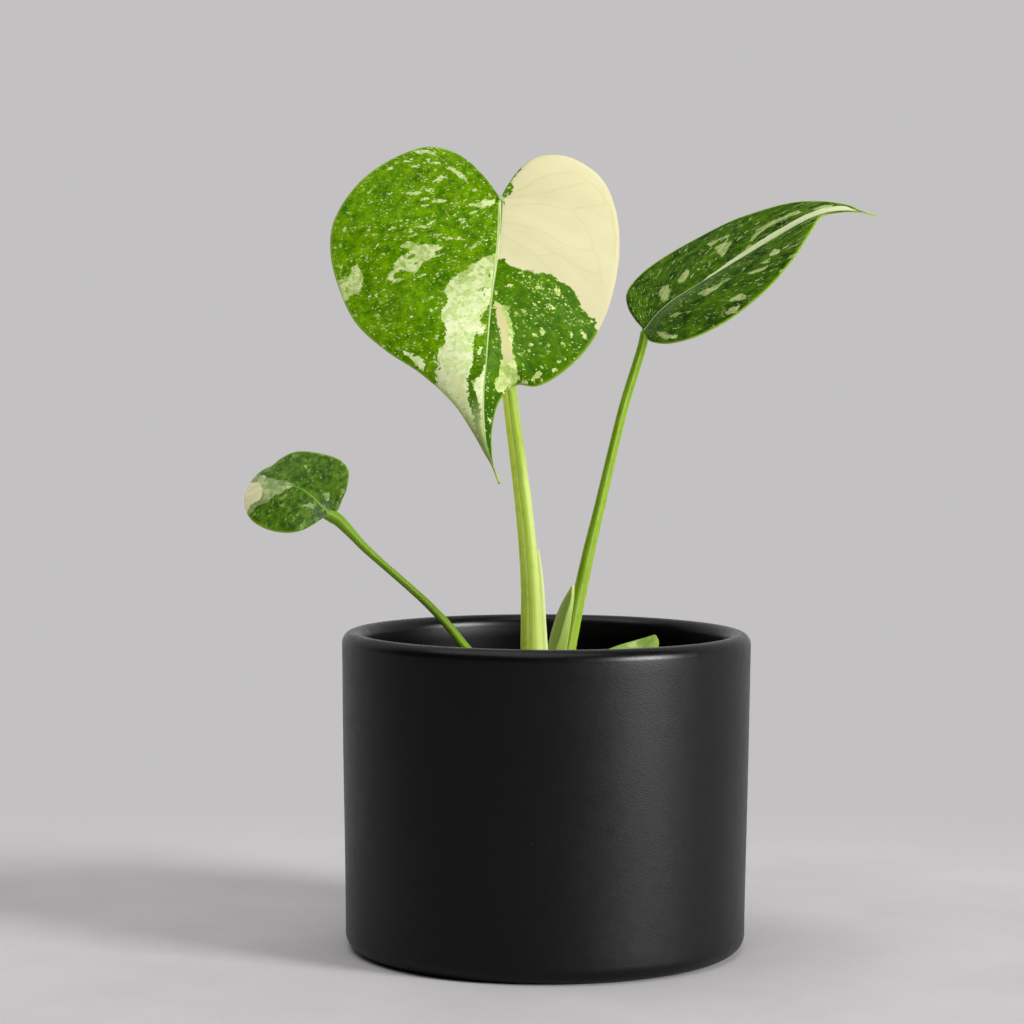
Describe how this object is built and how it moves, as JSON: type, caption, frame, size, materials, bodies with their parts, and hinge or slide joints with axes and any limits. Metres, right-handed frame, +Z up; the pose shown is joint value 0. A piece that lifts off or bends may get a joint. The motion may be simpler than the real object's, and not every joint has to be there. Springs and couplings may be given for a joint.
{
  "type": "potted thai constellation monstera",
  "caption": "Young variegated monstera with speckled cream and green leaves on tall stalks, standing in potting mix in a plain matte black cylinder pot.",
  "frame": {"origin": "middle of the pot's underside, on the surface that it stands on", "axes": "+Z up; -Y towards the side that the leaves face; +X to the right as seen from that side"},
  "size_m": [0.2047, 0.1298, 0.2546],
  "materials": {
    "pot_ceramic": "matte black glaze with a fine grain",
    "potting_mix": "loose bark, coir and a little perlite",
    "stem": "dull green to brown, ringed",
    "leaf_blade": "green with cream and mint patches and specks, satin",
    "leaf_stalk": "yellow-green with pale stripes, satin"
  },
  "bodies": {
    "root": {"pot": "pot_ceramic", "potting_mix": "potting_mix", "stem_and_roots": "stem", "main_leaf_blade": "leaf_blade", "main_leaf_stalk": "leaf_stalk", "right_leaf_blade": "leaf_blade", "right_leaf_stalk": "leaf_stalk", "left_leaf_blade": "leaf_blade", "left_leaf_stalk": "leaf_stalk", "low_leaf_blade": "leaf_blade", "low_leaf_stalk": "leaf_stalk"}
  },
  "joints": []
}
